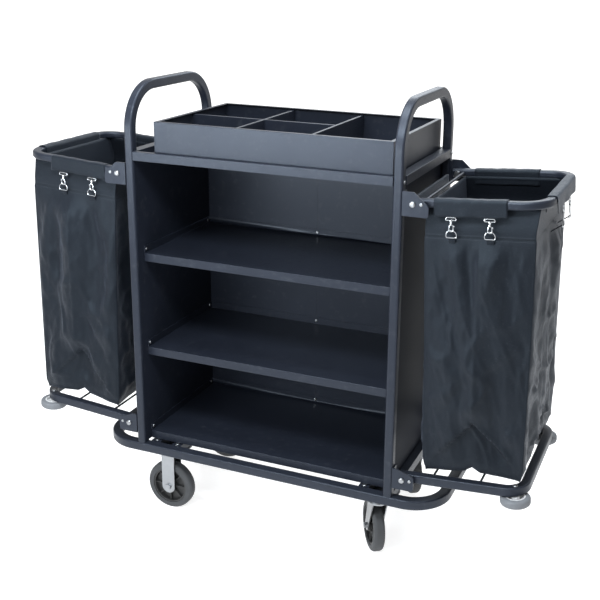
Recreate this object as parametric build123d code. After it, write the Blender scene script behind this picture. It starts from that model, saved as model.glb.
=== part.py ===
"""Housekeeping cart: three steel shelves between two tube end frames, on four casters,
with a fold-up linen bag frame and a fold-up platform at each end.

Millimetres. +X runs along the cart, -Y is the open front, +Z is up. The origin is on the
floor, under the middle of the cart. One STEP file is written for each named piece.
"""
from build123d import *
from math import cos, radians, sin
import os

# Overall sizes
frame_length = 800.0        # over the outer faces of the posts, along X
frame_depth = 458.0         # over the front and back faces of the posts
frame_height = 1288.0       # floor to the top of the push handles
caster_height = 195.5       # floor to the underside of the base loop

# Clearances
fit_gap = 0.1               # between pieces that are fixed together
seat_gap = 0.3              # between a loose, soft or moving piece and what carries it
running_gap = 0.08          # radial, on every shaft that something turns on

# End frames: one bent tube each, post, push handle, post
post_wide = 25.0            # along X
post_deep = 28.0            # along Y, and the height of the handle's tube
post_edge = 6.0
handle_bend = 130.0         # outer radius of the handle's two bends
tube_wall = 1.5

# Base loop, the racetrack of tube that the end frames stand on
loop_length = 1076.0
loop_tall = 27.0
loop_wide = 30.0
loop_overhang = 2.0         # how far the loop stands out past the posts, front and back
loop_corner = 112.0         # outer radius
loop_edge = 4.0
rail_wide = 30.0            # cross rails that carry the casters

# Sheet metal
sheet = 1.2
shelf_heights = {"bottom_shelf": 249.5, "middle_shelf": 519.0, "upper_shelf": 805.0}
shelf_setback = 38.0        # from the front of the posts to the front of the shelves
shelf_lip = 24.0            # front edge, turned down
shelf_return = 14.0         # the lip's hem, turned back under the shelf
shelf_rim = 21.0            # sides and back, turned up
panel_step = 6.0            # side panels stop this far short of the posts' faces
panel_floor_gap = 4.0
back_flange = 14.0

# Top deck, a shallow pan that fits between and around the posts
deck_top = 1103.0
deck_skirt = 24.0
deck_overhang = 1.0
deck_recess = 18.0
deck_pan_clear = 3.0        # from the posts' inner faces to the pan's side walls
deck_front_rim = 15.0

# Organizer tray, loose in the deck's pan
tray_length = 684.0
tray_depth = 418.0
tray_tall = 101.0
tray_end_gap = 4.0          # it stands this far from the pan's right-hand wall
tray_hem = 12.0
divider_wide = 8.0
divider_drop = 6.0          # the dividers' tops sit this far below the tray's rim
cross_divider_at = (0.335, 0.655)   # shares of the tray's length

# Bolts
bolt_r = 2.5
bolt_head_r = 5.0
bolt_head_tall = 2.8
nut_r = 4.6
nut_tall = 4.0
bolt_inset = 11.0           # shelf bolts, from the shelf's front and back edges
deck_bolt_r = 3.0
deck_bolt_drop = 14.0

# Hinges of the bag frames and of the platforms
pivot_out = 27.0            # from the posts' outer faces to the hinge pins
frame_pivot_z = 1039.0
platform_pivot_z = 281.0
fold_tilt = 4.0             # degrees; frames and platforms rise towards their outer ends
bracket_sheet = 4.0
bracket_flange = 26.0
bracket_corner = 7.0
frame_bracket = {"reach": 68.0, "up": 31.0, "down": 31.0, "run": 38.0, "drop": 34.0}
platform_bracket = {"reach": 60.0, "up": 31.0, "down": 28.0, "run": 50.0, "drop": 17.0}
hinge_r = 4.0
hinge_head_r = 8.0
hinge_head_tall = 4.5
hinge_nut_r = 7.5
hinge_nut_tall = 7.0
hinge_washer = 1.6
spacer_r = 8.0
tube_tail = 14.0            # how far the swinging tubes run past their pins
stop_thick = 3.0
stop_from = 14.0
stop_wide = 16.0
stop_rise = 8.0
stop_grip = 7.0             # how far the stop's foot reaches under the tube
rivet_r = 2.5
rivet_head_r = 4.5

# Bag frames, bags and snap hooks
side_tube_wide = 25.0
frame_tube_tall = 21.0
frame_tube_edge = 7.0
frame_reach = 334.0         # hinge pin to the outer face of the bag frame
frame_half = 214.0          # middle of the cart to the front or back face of the frame
frame_corner = 75.0
cross_rod_r = 4.0
cross_rod_at = 18.0         # from the hinge pins
cloth = 1.5
bag_floor_rise = 14.0       # from the platform's top to the bag's floor
bag_shoulder = 55.0         # the bag widens out to here below the frame's tube
bag_inner_shoulder = 21.0   # inner wall, from the line of the hinge pins
bag_outer_shoulder = 300.0
bag_inner_foot = -1.0
bag_outer_foot = 266.0
bag_half = 205.0            # middle of the cart to the bag's front or back wall
flap_from = 50.0
flap_to = 231.0
end_flap_half = 138.0
rod_flap_half = 150.0
flap_drop = 30.0            # the flaps hang this far below the tube's middle
hook_pitch = 96.0           # two snap hooks on each flap
hook_loop_wide = 24.0
hook_loop_tall = 9.0
hook_wire_r = 1.3
hook_shank_r = 2.6
hook_shank = 20.0
hook_eye_r = 4.2
ring_wide = 26.0
ring_tall = 17.0
ring_wire = 2.0
ring_slack = 0.5            # between the ring and the eye that it hangs in

# Platforms under the bags
platform_tall = 25.0
platform_edge = 4.0
platform_reach = 331.0
platform_half = 214.0
platform_corner = 62.0
rod_r = 3.0
rod_places = (78.0, 205.0)  # from the hinge pins
rod_rise = 6.0              # above the middle of the tube

# Bumper wheels, lying flat under the platforms' outer corners
bumper_r = 40.0
bumper_thick = 22.0
bumper_hub_r = 27.0
bumper_core_r = 12.0
bumper_angle = 54.0         # where on the corner's bend the bolt stands, from +X
bumper_bolt_r = 4.0
bumper_washer = 2.0
bumper_washer_r = 9.0

# Casters
wheel_r = 75.0
tread_wide = 32.0
tread_round = 9.0
tyre_thick = 19.0           # tread to the wheel's rim
wheel_rim_wide = 28.0
wheel_rim_thick = 5.0
wheel_web = 4.0
wheel_boss_r = 17.0
wheel_boss_wide = 36.0
wheel_ribs = 8
wheel_rib_thick = 3.5
axle_r = 5.0
caster_y = 175.0
rigid_x = -318.0
swivel_x = 346.0
plate_long = 105.0
plate_wide = 84.0
plate_thick = 4.0
plate_bolt_x = 35.0
plate_bolt_y = 19.0
plate_bolt_r = 4.0
plate_bolt_head_r = 6.5
plate_bolt_head_tall = 2.5
plate_nut_r = 7.2
plate_nut_tall = 6.0
fork_gap = 1.0              # hub to fork leg
fork_leg = 3.0
fork_leg_wide = 42.0
race_r = 29.0
race_tall = 9.0
crown_r = 32.0
crown_thick = 4.0
kingpin_r = 6.0
kingpin_head_r = 9.0
kingpin_head_tall = 5.0
caster_trail = 38.0
trail_end_r = 15.0
swivel_heading = 124.0      # degrees from +X, where both swivel wheels trail

# Worked out from the sizes above
wheel_rim_r = wheel_r - tyre_thick
half_length = frame_length / 2
half_depth = frame_depth / 2
post_x = half_length - post_wide / 2
post_y = half_depth - post_deep / 2
inner_half = half_length - post_wide
loop_top = caster_height + loop_tall
loop_half_depth = half_depth + loop_overhang
panel_x = inner_half - sheet
shelf_half = panel_x - fit_gap
shelf_front = half_depth - shelf_setback
back_face = shelf_front + fit_gap
deck_skirt_bottom = deck_top - deck_skirt
deck_floor = deck_top - deck_recess
pan_half = inner_half - deck_pan_clear
tray_shift = pan_half - tray_end_gap - tray_length / 2
pivot_x = half_length + pivot_out
tray_floor = deck_floor + seat_gap
stem_y = half_depth - bracket_sheet     # inner face of the hinge brackets' webs


def box(x0, x1, y0, y1, z0, z1):
    """A block between two corners."""
    middle = Pos((x0 + x1) / 2, (y0 + y1) / 2, (z0 + z1) / 2)
    return middle * Box(abs(x1 - x0), abs(y1 - y0), abs(z1 - z0))


def rod(start, end, radius):
    """A round bar from one point to another."""
    run = Vector(*end) - Vector(*start)
    plane = Plane(origin=start, z_dir=run)
    return plane * Pos(0, 0, run.length / 2) * Cylinder(radius, run.length)


def hex_nut(start, end, radius):
    """A six-sided nut between two points, radius over its corners."""
    run = Vector(*end) - Vector(*start)
    plane = Plane(origin=start, z_dir=run)
    return extrude(plane * RegularPolygon(radius, 6), run.length)


def dome_head(base, out, radius, tall):
    """A low domed bolt head standing on base and rising along out."""
    plane = Plane(origin=base, z_dir=out)
    head = Pos(0, 0, tall / 2) * Cylinder(radius, tall)
    head = fillet(head.edges().group_by(Axis.Z)[-1], tall * 0.85)
    return plane * head


def left_of(shape):
    return mirror(shape, about=Plane.YZ)


def back_of(shape):
    return mirror(shape, about=Plane.XZ)


def both_ends(shape):
    """The front piece and its twin at the back."""
    return [shape, back_of(shape)]


def solids_of(shapes):
    found = []
    for shape in shapes:
        if isinstance(shape, (list, tuple)):
            found.extend(solids_of(shape))
        else:
            found.extend(shape.solids())
    return found


def save(name, *shapes):
    """Write one named piece, with each of its solids kept apart."""
    solids = solids_of(shapes)
    export_step(Compound(solids), f"parts/{name}.step")


def hollow_section(wide, tall, edge):
    outer = RectangleRounded(wide, tall, edge)
    inner = RectangleRounded(wide - 2 * tube_wall, tall - 2 * tube_wall, edge - tube_wall)
    return outer - inner


# Structure -------------------------------------------------------------------------------

def end_frame():
    """Post, push handle and post: one bent tube standing on the base loop."""
    middle = frame_height - post_deep / 2
    corners = [
        (post_x, -post_y, loop_top),
        (post_x, -post_y, middle),
        (post_x, post_y, middle),
        (post_x, post_y, loop_top),
    ]
    path = FilletPolyline(*corners, radius=handle_bend - post_deep / 2)
    start = Plane(origin=corners[0], x_dir=(1, 0, 0), z_dir=(0, 0, 1))
    tube = sweep(start * hollow_section(post_wide, post_deep, post_edge), path=path)
    for y in (-post_y, post_y):
        hole = rod((half_length + 1, y, deck_top - deck_bolt_drop),
                   (inner_half - 1, y, deck_top - deck_bolt_drop), deck_bolt_r + fit_gap)
        tube -= hole
    return tube


def base_loop():
    """Closed racetrack of rectangular tube."""
    depth = 2 * loop_half_depth
    ring = RectangleRounded(loop_length, depth, loop_corner)
    ring -= RectangleRounded(loop_length - 2 * loop_wide, depth - 2 * loop_wide,
                             loop_corner - loop_wide)
    tube = extrude(ring, loop_tall)
    ends = tube.edges().group_by(Axis.Z)
    tube = fillet(ends[0] + ends[-1], loop_edge)
    inset = 2 * tube_wall
    hollow = RectangleRounded(loop_length - inset, depth - inset, loop_corner - tube_wall)
    hollow -= RectangleRounded(loop_length - 2 * loop_wide + inset,
                               depth - 2 * loop_wide + inset,
                               loop_corner - loop_wide + tube_wall)
    tube -= Pos(0, 0, tube_wall) * extrude(hollow, loop_tall - inset)
    return Pos(0, 0, caster_height) * tube


def caster_places():
    """Middle of each caster's plate, as (x, y)."""
    return [(x, y) for x in (rigid_x, swivel_x) for y in (-caster_y, caster_y)]


def plate_bolts_at(x, y):
    return [(x + i * plate_bolt_x, y + j * plate_bolt_y) for i in (-1, 1) for j in (-1, 1)]


def cross_rails():
    """Four rails between the front and back of the base loop, two over each caster pair."""
    half = loop_half_depth - loop_wide
    rails = []
    for caster in (rigid_x, swivel_x):
        for side in (-1, 1):
            x = caster + side * plate_bolt_x
            outer = box(x - rail_wide / 2, x + rail_wide / 2, -half, half,
                        caster_height, loop_top)
            inner = box(x - rail_wide / 2 + tube_wall, x + rail_wide / 2 - tube_wall,
                        -half, half, caster_height + tube_wall, loop_top - tube_wall)
            rail = outer - inner
            for y in (-caster_y, caster_y):
                for j in (-1, 1):
                    bolt_y = y + j * plate_bolt_y
                    rail -= rod((x, bolt_y, caster_height - 1), (x, bolt_y, loop_top + 1),
                                plate_bolt_r + fit_gap)
            rails.append(rail)
    return rails


def shelf(height):
    """Pan with its front edge turned down and its sides and back turned up."""
    floor = box(-shelf_half, shelf_half, -shelf_front, shelf_front, height - sheet, height)
    lip = box(-shelf_half, shelf_half, -shelf_front, -shelf_front + sheet,
              height - shelf_lip, height)
    hem = box(-shelf_half, shelf_half, -shelf_front, -shelf_front + shelf_return,
              height - shelf_lip, height - shelf_lip + sheet)
    back = box(-shelf_half, shelf_half, shelf_front - sheet, shelf_front,
               height - sheet, height + shelf_rim)
    pan = floor + lip + hem + back
    for side in (-1, 1):
        pan += box(side * (shelf_half - sheet), side * shelf_half, -shelf_front, shelf_front,
                   height - sheet, height + shelf_rim)
    for x, y in side_bolts():
        pan -= rod((x - 20, y, height + shelf_rim / 2), (x + 20, y, height + shelf_rim / 2),
                   bolt_r + fit_gap)
    pan -= rod((0, shelf_front - 5, height + shelf_rim / 2),
               (0, shelf_front + 5, height + shelf_rim / 2), bolt_r + fit_gap)
    return pan


def side_bolts():
    """Where the bolts pass through the side panels, as (x, y)."""
    reach = shelf_front - bolt_inset
    return [(side * shelf_half, y) for side in (-1, 1) for y in (-reach, reach)]


def side_panel():
    """Flat sheet against the inner faces of the two posts of the right-hand end frame."""
    half = half_depth - panel_step
    panel = box(panel_x, inner_half, -half, half, loop_top + panel_floor_gap,
                deck_skirt_bottom - fit_gap)
    for height in shelf_heights.values():
        for x, y in side_bolts():
            panel -= rod((x - 20, y, height + shelf_rim / 2),
                         (x + 20, y, height + shelf_rim / 2), bolt_r + fit_gap)
    return panel


def back_panel():
    """Right-hand half of the back, with its outer edge flanged to the rear."""
    bottom = loop_top + panel_floor_gap
    top = deck_floor - sheet
    panel = box(fit_gap, shelf_half, back_face, back_face + sheet, bottom, top)
    panel += box(shelf_half - sheet, shelf_half, back_face, back_face + back_flange,
                 bottom, top)
    for height in shelf_heights.values():
        panel -= rod((0, back_face - 5, height + shelf_rim / 2),
                     (0, back_face + 5, height + shelf_rim / 2), bolt_r + fit_gap)
    return panel


def top_deck():
    """Pressed pan: a rim, a shallow recess for the tray and a skirt, notched for the posts."""
    notch_x = inner_half - fit_gap
    notch_y = half_depth - post_deep - fit_gap
    outline = Rectangle(2 * (half_length + deck_overhang), 2 * notch_y)
    outline += Rectangle(2 * notch_x, frame_depth)
    opening_y = half_depth - deck_front_rim
    opening = Rectangle(2 * pan_half, 2 * opening_y)
    around = Rectangle(2 * (pan_half + sheet), 2 * (opening_y + sheet))
    skirt_ring = outline - offset(outline, -sheet, kind=Kind.INTERSECTION)
    deck = Pos(0, 0, deck_skirt_bottom) * extrude(skirt_ring, deck_skirt)
    deck += Pos(0, 0, deck_top - sheet) * extrude(outline - opening, sheet)
    deck += Pos(0, 0, deck_floor) * extrude(around - opening, deck_recess)
    deck += Pos(0, 0, deck_floor - sheet) * extrude(around, sheet)
    for side in (-1, 1):
        for y in (-post_y, post_y):
            z = deck_top - deck_bolt_drop
            deck -= rod((side * (inner_half + 1), y, z),
                        (side * (inner_half - fit_gap - sheet), y, z), deck_bolt_r + fit_gap)
    return deck


def panel_bolts():
    """Bolts and nuts that hold the shelves to the panels, and the deck's four bolts."""
    pieces = []
    for height in shelf_heights.values():
        z = height + shelf_rim / 2
        for x, y in side_bolts():
            side = 1 if x > 0 else -1
            inner = side * (shelf_half - sheet)
            outer = side * inner_half
            tip = outer + side * (nut_tall + 1.5)
            bolt = rod((inner, y, z), (tip, y, z), bolt_r)
            bolt += dome_head((inner, y, z), (-side, 0, 0), bolt_head_r, bolt_head_tall)
            nut = hex_nut((outer, y, z), (outer + side * nut_tall, y, z), nut_r)
            nut -= rod((inner, y, z), (tip, y, z), bolt_r)
            pieces += [bolt, nut]
        inner = shelf_front - sheet
        outer = back_face + sheet
        tip = outer + nut_tall + 1.5
        bolt = rod((0, inner, z), (0, tip, z), bolt_r)
        bolt += dome_head((0, inner, z), (0, -1, 0), bolt_head_r, bolt_head_tall)
        nut = hex_nut((0, outer, z), (0, outer + nut_tall, z), nut_r)
        nut -= rod((0, inner, z), (0, tip, z), bolt_r)
        pieces += [bolt, nut]
    z = deck_top - deck_bolt_drop
    for side in (-1, 1):
        for y in (-post_y, post_y):
            end = side * (inner_half - fit_gap - sheet)
            bolt = rod((side * half_length, y, z), (end, y, z), deck_bolt_r)
            bolt += dome_head((side * half_length, y, z), (side, 0, 0),
                              bolt_head_r, bolt_head_tall)
            pieces.append(bolt)
    return pieces


# Hinges ----------------------------------------------------------------------------------

def tilted(shape, pivot_z):
    """Move a right-hand shape, modelled level with its hinge pin at the origin, to its place."""
    return Pos(pivot_x, 0, pivot_z) * Rot(0, -fold_tilt, 0) * shape


def hinge_bracket(size, pivot_z, tube_tall):
    """Front right-hand bracket: angle plate on the post, and its riveted stop."""
    low = pivot_z - size["down"]
    high = pivot_z + size["up"]
    tip = half_length + size["reach"]
    outline = Polyline(
        (half_length, low),
        (tip, low),
        (tip, high - size["drop"]),
        (tip - size["run"], high),
        (half_length, high),
        close=True,
    )
    face = make_face(outline)
    face = fillet(face.vertices().sort_by(Axis.X)[-3:], bracket_corner)
    web = extrude(Plane.XZ * face, bracket_sheet)
    web = Pos(0, -stem_y, 0) * web
    flange = box(half_length, half_length + bracket_sheet, -half_depth,
                 -half_depth + bracket_flange, low, high)
    bracket = web + flange
    bracket -= rod((pivot_x, -half_depth - 1, pivot_z), (pivot_x, -stem_y + 1, pivot_z),
                   hinge_r + fit_gap)
    foot_top = -tube_tall / 2 - seat_gap
    leg = box(stop_from, stop_from + stop_wide, -stem_y, -stem_y + stop_thick,
              foot_top - stop_thick, stop_rise)
    foot = box(stop_from, stop_from + stop_wide, -stem_y, -frame_half + stop_grip,
               foot_top - stop_thick, foot_top)
    stop = tilted(leg + foot, pivot_z)
    hole = stop_rivet_line(pivot_z, 1, rivet_r + fit_gap)
    return [bracket - hole, stop - hole]


def stop_rivet_line(pivot_z, extra, radius):
    """The rivet's shank, or with extra length the hole that it sits in."""
    x = stop_from + stop_wide / 2
    shank = rod((x, -half_depth - extra, 0), (x, -stem_y + stop_thick + extra, 0), radius)
    return tilted(shank, pivot_z)


def stop_rivet(pivot_z):
    x = stop_from + stop_wide / 2
    rivet = stop_rivet_line(pivot_z, 0, rivet_r)
    head = dome_head((x, -half_depth, 0), (0, -1, 0), rivet_head_r, 2.0)
    tail = rod((x, -stem_y + stop_thick, 0), (x, -stem_y + stop_thick + 1.5, 0), 3.8)
    return rivet + tilted(head, pivot_z) + tilted(tail, pivot_z)


def hinge_pin(pivot_z):
    """Front right-hand hinge: bolt, spacer against the bracket, washer and nut."""
    tube_in = -frame_half + side_tube_wide
    nut_from = tube_in + hinge_washer
    tip = nut_from + hinge_nut_tall + 2.0
    bolt = rod((pivot_x, -half_depth, pivot_z), (pivot_x, tip, pivot_z), hinge_r)
    bolt += dome_head((pivot_x, -half_depth, pivot_z), (0, -1, 0), hinge_head_r,
                      hinge_head_tall)
    shank = rod((pivot_x, -half_depth, pivot_z), (pivot_x, tip + 1, pivot_z),
                hinge_r + running_gap)
    spacer = rod((pivot_x, -stem_y, pivot_z), (pivot_x, -frame_half - seat_gap, pivot_z),
                 spacer_r) - shank
    washer = rod((pivot_x, tube_in + seat_gap, pivot_z), (pivot_x, nut_from, pivot_z),
                 spacer_r) - shank
    nut = hex_nut((pivot_x, nut_from, pivot_z),
                  (pivot_x, nut_from + hinge_nut_tall, pivot_z), hinge_nut_r) - shank
    return [bolt, spacer, washer, nut]


def hinge_group():
    """All eight hinge pins and the eight rivets of their stops."""
    pieces = []
    for pivot_z in (frame_pivot_z, platform_pivot_z):
        for piece in hinge_pin(pivot_z) + [stop_rivet(pivot_z)]:
            pieces += both_ends(piece) + both_ends(left_of(piece))
    return pieces


def swing_tube(reach, half, tall, edge, corner):
    """Level U of tube, open end on the hinge pins, drilled for them."""
    y = half - side_tube_wide / 2
    x = reach - side_tube_wide / 2
    corners = [(-tube_tail, -y), (x, -y), (x, y), (-tube_tail, y)]
    path = FilletPolyline(*corners, radius=corner - side_tube_wide / 2)
    start = Plane(origin=(-tube_tail, -y, 0), x_dir=(0, 1, 0), z_dir=(1, 0, 0))
    tube = sweep(start * hollow_section(side_tube_wide, tall, edge), path=path)
    return tube - rod((0, -half - 1, 0), (0, half + 1, 0), hinge_r + running_gap)


# Tray ------------------------------------------------------------------------------------

def divider_lines():
    """Middle lines of the two cross dividers, as x."""
    left = tray_shift - tray_length / 2
    return [left + share * tray_length for share in cross_divider_at]


def tray_box():
    """Open box with its rim hemmed inwards."""
    x0 = tray_shift - tray_length / 2
    x1 = tray_shift + tray_length / 2
    y = tray_depth / 2
    top = tray_floor + tray_tall
    shell = box(x0, x1, -y, y, tray_floor, top)
    shell -= box(x0 + sheet, x1 - sheet, -y + sheet, y - sheet, tray_floor + sheet,
                 top - sheet)
    shell -= box(x0 + tray_hem, x1 - tray_hem, -y + tray_hem, y - tray_hem,
                 tray_floor + sheet, top + 1)
    return shell


def folded_divider(x0, x1, y0, y1):
    """Sheet folded over a narrow top, open underneath."""
    bottom = tray_floor + sheet + fit_gap
    top = tray_floor + tray_tall - divider_drop
    body = box(x0, x1, y0, y1, bottom, top)
    along_x = x1 - x0 > y1 - y0
    if along_x:
        return body - box(x0, x1, y0 + sheet, y1 - sheet, bottom, top - sheet)
    return body - box(x0 + sheet, x1 - sheet, y0, y1, bottom, top - sheet)


def cross_dividers():
    reach = tray_depth / 2 - sheet - fit_gap
    half = divider_wide / 2
    return [folded_divider(x - half, x + half, -reach, reach) for x in divider_lines()]


def long_divider():
    """Two lengths in line, from the left-hand wall to the second cross divider."""
    first, second = divider_lines()
    half = divider_wide / 2
    start = tray_shift - tray_length / 2 + sheet + fit_gap
    runs = [(start, first - half - fit_gap), (first + half + fit_gap, second - half - fit_gap)]
    return [folded_divider(x0, x1, -half, half) for x0, x1 in runs]


# Bag frames and bags ---------------------------------------------------------------------

def cross_rod():
    """Round rod between the two arms, inside the bag's inner flap."""
    end = frame_half - side_tube_wide
    return rod((cross_rod_at, -end, 0), (cross_rod_at, end, 0), cross_rod_r)


def flap_over(x0, x1, y0, y1, along_x):
    """Cloth folded over a stretch of the frame's tube: top, outer side and inner side."""
    top = frame_tube_tall / 2 + seat_gap
    roof = box(x0, x1, y0, y1, top, top + cloth)
    if along_x:
        outer = box(x0, x1, y0, y0 + cloth, -flap_drop, top)
        inner = box(x0, x1, y1 - cloth, y1, -flap_drop, top)
    else:
        outer = box(x1 - cloth, x1, y0, y1, -flap_drop, top)
        inner = box(x0, x0 + cloth, y0, y1, -flap_drop, top)
    return roof + outer + inner


def bag_shell(inset, top, bottom):
    """The bag's body, drawn in from its outside by inset, between two heights."""
    rod_side = cross_rod_at + cross_rod_r + seat_gap
    tube_side = frame_reach - side_tube_wide - seat_gap
    narrow = frame_half - side_tube_wide - seat_gap
    levels = [
        (top, rod_side, tube_side, narrow),
        (top - bag_shoulder, bag_inner_shoulder, bag_outer_shoulder, bag_half),
        (bottom, bag_inner_foot, bag_outer_foot, bag_half),
    ]
    sections = []
    for z, x0, x1, half in levels:
        section = Rectangle(x1 - x0 - 2 * inset, 2 * (half - inset))
        sections.append(Pos((x0 + x1) / 2, 0, z) * section)
    return loft(sections, ruled=True)


def bag():
    """Open cloth bag that hangs square to its frame, with a flap over each side of it."""
    turn = radians(fold_tilt)
    between = (frame_pivot_z - platform_pivot_z) * cos(turn)
    bottom = -between + platform_tall / 2 + bag_floor_rise
    top = -frame_tube_tall / 2
    shell = bag_shell(0, top, bottom) - bag_shell(cloth, top, bottom + cloth)
    narrow = frame_half - side_tube_wide - seat_gap
    tube_side = frame_reach - side_tube_wide - seat_gap
    edge = frame_half + seat_gap + cloth
    front = flap_over(flap_from, flap_to, -edge, -narrow + cloth, True)
    front -= box(flap_from, flap_to, -narrow, -narrow + cloth, -flap_drop, top)
    shell += front
    shell += back_of(front)
    end = flap_over(tube_side - cloth, frame_reach + seat_gap + cloth, -end_flap_half,
                    end_flap_half, False)
    end -= box(tube_side - cloth, tube_side, -end_flap_half, end_flap_half, -flap_drop, top)
    shell += end
    rod_out = cross_rod_at + cross_rod_r + seat_gap
    rod_in = cross_rod_at - cross_rod_r - seat_gap
    rod_top = cross_rod_r + seat_gap
    half = rod_flap_half
    shell += box(rod_in - cloth, rod_out + cloth, -half, half, rod_top, rod_top + cloth)
    shell += box(rod_out, rod_out + cloth, -half, half, top, rod_top)
    shell += box(rod_in - cloth, rod_in, -half, half, -flap_drop, rod_top)
    return shell


def snap_hook():
    """Rectangular loop, shank and eye as one piece, with the bag's ring hanging in the eye.
    It hangs from the origin and faces along Y."""
    w = hook_loop_wide / 2 - hook_wire_r
    low = -hook_loop_tall + hook_wire_r
    corners = [(-w, 0, -hook_wire_r), (w, 0, -hook_wire_r), (w, 0, low), (-w, 0, low)]
    hook = None
    for start, end in zip(corners, corners[1:] + corners[:1]):
        bar = rod(start, end, hook_wire_r) + Pos(*end) * Sphere(hook_wire_r)
        hook = bar if hook is None else hook + bar
    shank_end = -hook_loop_tall - hook_shank
    hook += rod((0, 0, low), (0, 0, shank_end), hook_shank_r)
    eye_z = shank_end - hook_eye_r
    hook += Pos(0, 0, eye_z) * Rot(0, 90, 0) * Torus(hook_eye_r, hook_wire_r)
    ring_top = eye_z - hook_eye_r + hook_wire_r + ring_slack + ring_wire
    outline = make_face(Polyline((-ring_wide / 2, ring_top - ring_tall),
                                 (ring_wide / 2, ring_top - ring_tall),
                                 (ring_wide / 2, ring_top), (-ring_wide / 2, ring_top),
                                 close=True))
    tops = outline.vertices().sort_by(Axis.Y)[-2:]
    outline = fillet(tops, ring_wide / 2 - 1.0)
    ring_face = outline - offset(outline, -ring_wire)
    ring = extrude(Plane.XZ * ring_face, ring_wire / 2, both=True)
    return [hook, ring]


def bag_hooks():
    """Two snap hooks under the edge of each of the bag's four flaps."""
    drop = -flap_drop - seat_gap
    side_y = frame_half + seat_gap + cloth / 2
    end_x = frame_reach + seat_gap + cloth / 2
    rod_x = cross_rod_at - cross_rod_r - seat_gap - cloth / 2
    middle = (flap_from + flap_to) / 2
    places = []
    for step in (-hook_pitch / 2, hook_pitch / 2):
        places += [Pos(middle + step, -side_y, drop), Pos(middle + step, side_y, drop)]
        places += [Pos(end_x, step, drop) * Rot(0, 0, 90)]
        places += [Pos(rod_x, step, drop) * Rot(0, 0, 90)]
    return [place * piece for place in places for piece in snap_hook()]


# Platforms and bumper wheels -------------------------------------------------------------

def bumper_place():
    """The back bumper bolt's place on the middle line of the platform's corner."""
    angle = radians(bumper_angle)
    bend = platform_corner - side_tube_wide / 2
    x = platform_reach - platform_corner + bend * cos(angle)
    y = platform_half - platform_corner + bend * sin(angle)
    return x, y


def platform_frame():
    tube = swing_tube(platform_reach, platform_half, platform_tall, platform_edge,
                      platform_corner)
    x, y = bumper_place()
    for side in (-1, 1):
        tube -= rod((x, side * y, -platform_tall), (x, side * y, platform_tall),
                    bumper_bolt_r + fit_gap)
    return tube


def platform_rods():
    end = platform_half - side_tube_wide
    return [rod((x, -end, rod_rise), (x, end, rod_rise), rod_r) for x in rod_places]


def bumper_top():
    return -platform_tall / 2 - bumper_washer - seat_gap


def bumper_bolt():
    """Bolt, washers and nut of the front bumper wheel."""
    x, y = bumper_place()
    top = platform_tall / 2
    low = bumper_top() - bumper_thick - seat_gap
    nut_low = low - bumper_washer - nut_tall
    bolt = rod((x, -y, top), (x, -y, nut_low - 2), bumper_bolt_r)
    bolt += dome_head((x, -y, top), (0, 0, 1), 7.0, 3.5)
    shank = rod((x, -y, top), (x, -y, nut_low - 3), bumper_bolt_r + running_gap)
    upper = rod((x, -y, -top), (x, -y, -top - bumper_washer), bumper_washer_r) - shank
    lower = rod((x, -y, low), (x, -y, low - bumper_washer), bumper_washer_r) - shank
    nut = hex_nut((x, -y, low - bumper_washer), (x, -y, nut_low), plate_nut_r) - shank
    return [bolt, upper, lower, nut]


def bumper_tyre():
    x, y = bumper_place()
    middle = bumper_top() - bumper_thick / 2
    ring = Cylinder(bumper_r, bumper_thick) - Cylinder(bumper_hub_r + fit_gap, bumper_thick)
    outer = ring.edges().filter_by(GeomType.CIRCLE).sort_by(SortBy.RADIUS)[-2:]
    return Pos(x, -y, middle) * fillet(outer, 6.0)


def bumper_hub():
    """Dished hub: rim, thin web and core."""
    x, y = bumper_place()
    middle = bumper_top() - bumper_thick / 2
    hub = Cylinder(bumper_hub_r, bumper_thick)
    dish = bumper_thick / 2 - 3.0
    cut = Cylinder(bumper_hub_r - 5.0, dish) - Cylinder(bumper_core_r, dish)
    for side in (-1, 1):
        hub -= Pos(0, 0, side * (bumper_thick / 2 - dish / 2)) * cut
    hub -= Cylinder(bumper_bolt_r + running_gap, bumper_thick)
    return Pos(x, -y, middle) * hub


# Casters ---------------------------------------------------------------------------------

def wheel_tyre():
    """Tyre on its axle line, which runs along Y through the origin."""
    ring = Cylinder(wheel_r, tread_wide) - Cylinder(wheel_rim_r + fit_gap, tread_wide)
    outer = ring.edges().filter_by(GeomType.CIRCLE).sort_by(SortBy.RADIUS)[-2:]
    return Rot(90, 0, 0) * fillet(outer, tread_round)


def wheel_hub():
    """Moulded hub with a rim, a web, radial ribs on both faces and a boss."""
    rim = Cylinder(wheel_rim_r, wheel_rim_wide)
    rim -= Cylinder(wheel_rim_r - wheel_rim_thick, wheel_rim_wide)
    hub = rim + Cylinder(wheel_rim_r - 1, wheel_web) + Cylinder(wheel_boss_r, wheel_boss_wide)
    for count in range(wheel_ribs):
        reach = wheel_rim_r - 1
        rib = Pos(reach / 2, 0, 0) * Box(reach, wheel_rib_thick, wheel_rim_wide - 6)
        hub += Rot(0, 0, count * 360 / wheel_ribs) * rib
    hub -= Cylinder(axle_r + running_gap, wheel_boss_wide)
    return Rot(90, 0, 0) * hub


def caster_plate():
    """Top plate, its middle at the origin and its top face at z = 0."""
    plate = Pos(0, 0, -plate_thick / 2) * Box(plate_long, plate_wide, plate_thick)
    plate = fillet(plate.edges().filter_by(Axis.Z), 8.0)
    for x, y in plate_bolts_at(0, 0):
        plate -= rod((x, y, 1), (x, y, -plate_thick - 1), plate_bolt_r + fit_gap)
    return plate


def leg_inside():
    return wheel_boss_wide / 2 + fork_gap


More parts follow.
